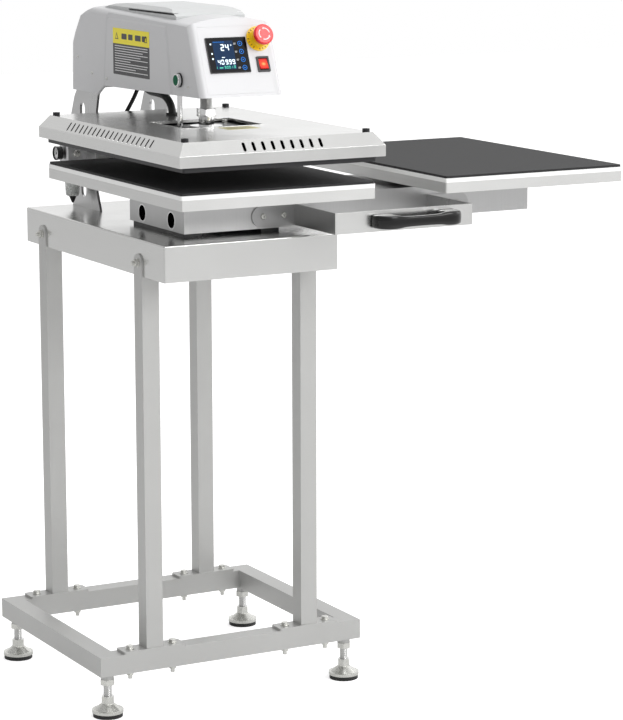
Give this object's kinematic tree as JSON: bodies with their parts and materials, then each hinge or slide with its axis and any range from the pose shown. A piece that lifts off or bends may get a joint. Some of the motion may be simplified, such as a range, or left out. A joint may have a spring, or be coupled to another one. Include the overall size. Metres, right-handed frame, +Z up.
{
  "type": "pneumatic heat press",
  "caption": "Free-standing air-operated heat press: a heated platen on a ram over a sideways shuttle that carries two lower platens, on a tube stand with levelling feet.",
  "frame": {"origin": "middle of the bounding box, on the floor", "axes": "+Z up, front (handle and control panel) towards -Y, shuttle runs along X with the free platen at +X"},
  "size_m": [1.0404, 0.7786, 1.3354],
  "materials": {
    "stand_paint": "satin silver powder coat",
    "box_steel": "fine brushed stainless, bright",
    "cover_steel": "fine brushed stainless, bright",
    "beam_steel": "satin silver powder coat",
    "head_paint": "light silver-grey textured paint",
    "lid_plastic": "light silver-grey moulding",
    "zinc": "zinc plated",
    "chrome": "polished",
    "dark_metal": "dark anodised",
    "board_white": "white insulating board",
    "pad_foam": "black silicone foam",
    "rubber": "moulded black rubber",
    "black_plastic": "moulded black plastic",
    "gloss_black": "glossy black",
    "platen_alu": "painted cast aluminium",
    "alu": "anodised",
    "display": "glossy black window",
    "red_lamp": "translucent red",
    "estop_yellow": "yellow",
    "estop_red": "red",
    "green": "green",
    "pcb": "green board",
    "bowl": "translucent white",
    "brass": "nickelled brass",
    "needle": "black"
  },
  "bodies": {
    "frame": {"base_rail_front": "stand_paint", "base_rail_rear": "stand_paint", "base_rail_left": "stand_paint", "base_rail_right": "stand_paint", "leg_front_left": "stand_paint", "leg_front_right": "stand_paint", "leg_rear_left": "stand_paint", "leg_rear_right": "stand_paint", "leg_bolts": "zinc", "leg_nuts": "zinc", "base_box": "box_steel", "upright_left": "beam_steel", "upright_right": "beam_steel", "upright_crossbar": "beam_steel", "cylinder_mount": "dark_metal", "air_cylinder": "alu", "bearing_blocks": "black_plastic", "head_shell": "head_paint", "head_front_panel": "head_paint", "head_top_lid": "lid_plastic", "display_module": "display", "rocker_bezel": "black_plastic", "estop_base": "estop_yellow", "start_button_ring": "chrome", "control_board": "pcb", "power_inlet": "black_plastic", "regulator_body": "alu", "filter_bowl": "bowl", "pressure_gauge": "black_plastic", "air_fittings": "brass", "solenoid_valve": "black_plastic", "air_hoses": "rubber"},
    "press": {"piston_rod": "chrome", "ram_nut": "zinc", "guide_rod": "chrome", "platen_cover": "cover_steel", "heating_plate": "dark_metal", "heating_element": "zinc", "hub_plate": "dark_metal", "platen_screws": "zinc", "conduit_gland": "rubber", "heater_conduit": "rubber"},
    "carriage": {"carriage_beam": "beam_steel", "carriage_shafts": "chrome", "carriage_screws": "zinc", "lower_platens": "platen_alu", "platen_boards": "board_white", "platen_pads": "pad_foam", "handle_bracket": "beam_steel", "handle": "gloss_black"},
    "stop_button": {"estop_cap": "estop_red", "estop_stem": "estop_red"},
    "power_rocker": {"rocker_switch": "red_lamp"},
    "start_key": {"start_button": "green"},
    "pressure_knob": {"regulator_knob": "black_plastic"},
    "pressure_needle": {"gauge_needle": "needle"},
    "foot_front_left": {"levelling_foot_front_left": "zinc"},
    "foot_front_right": {"levelling_foot_front_right": "zinc"},
    "foot_rear_left": {"levelling_foot_rear_left": "zinc"},
    "foot_rear_right": {"levelling_foot_rear_right": "zinc"}
  },
  "joints": [
    {"name": "platen_press", "type": "slide", "parent": "frame", "child": "press", "axis": [0, 0, -1], "range_m": [0, 0.037], "deforming": ["heater_conduit"]},
    {"name": "shuttle_slide", "type": "slide", "parent": "frame", "child": "carriage", "axis": [-1, 0, 0], "range_m": [0, 0.5524]},
    {"name": "stop_press", "type": "slide", "parent": "frame", "child": "stop_button", "axis": [0, 0.9285, -0.3714], "range_m": [0, 0.005]},
    {"name": "power_tilt", "type": "hinge", "parent": "frame", "child": "power_rocker", "pos_m": [-0.1772, -0.19991, 1.23396], "axis": [1, 0, 0], "range_deg": [0, 22]},
    {"name": "start_press", "type": "slide", "parent": "frame", "child": "start_key", "axis": [1, 0, 0], "range_m": [0, 0.003], "stiffness_N_per_m": 600, "springref_m": -0.001},
    {"name": "knob_turn", "type": "hinge", "parent": "frame", "child": "pressure_knob", "pos_m": [-0.3367, 0.33125, 1.0694], "axis": [0, 0, 1], "range_deg": [0, 720]},
    {"name": "needle_turn", "type": "hinge", "parent": "frame", "child": "pressure_needle", "pos_m": [-0.3707, 0.33125, 1.0274], "axis": [-1, 0, 0], "range_deg": [-240, 0]},
    {"name": "foot_front_left_set", "type": "slide", "parent": "frame", "child": "foot_front_left", "axis": [0, 0, -1], "range_m": [-0.004, 0.012]},
    {"name": "foot_front_right_set", "type": "slide", "parent": "frame", "child": "foot_front_right", "axis": [0, 0, -1], "range_m": [-0.004, 0.012]},
    {"name": "foot_rear_left_set", "type": "slide", "parent": "frame", "child": "foot_rear_left", "axis": [0, 0, -1], "range_m": [-0.004, 0.012]},
    {"name": "foot_rear_right_set", "type": "slide", "parent": "frame", "child": "foot_rear_right", "axis": [0, 0, -1], "range_m": [-0.004, 0.012]}
  ],
  "couplings": [
    {"joint": "needle_turn", "follows": "knob_turn", "ratio": -0.33333}
  ]
}
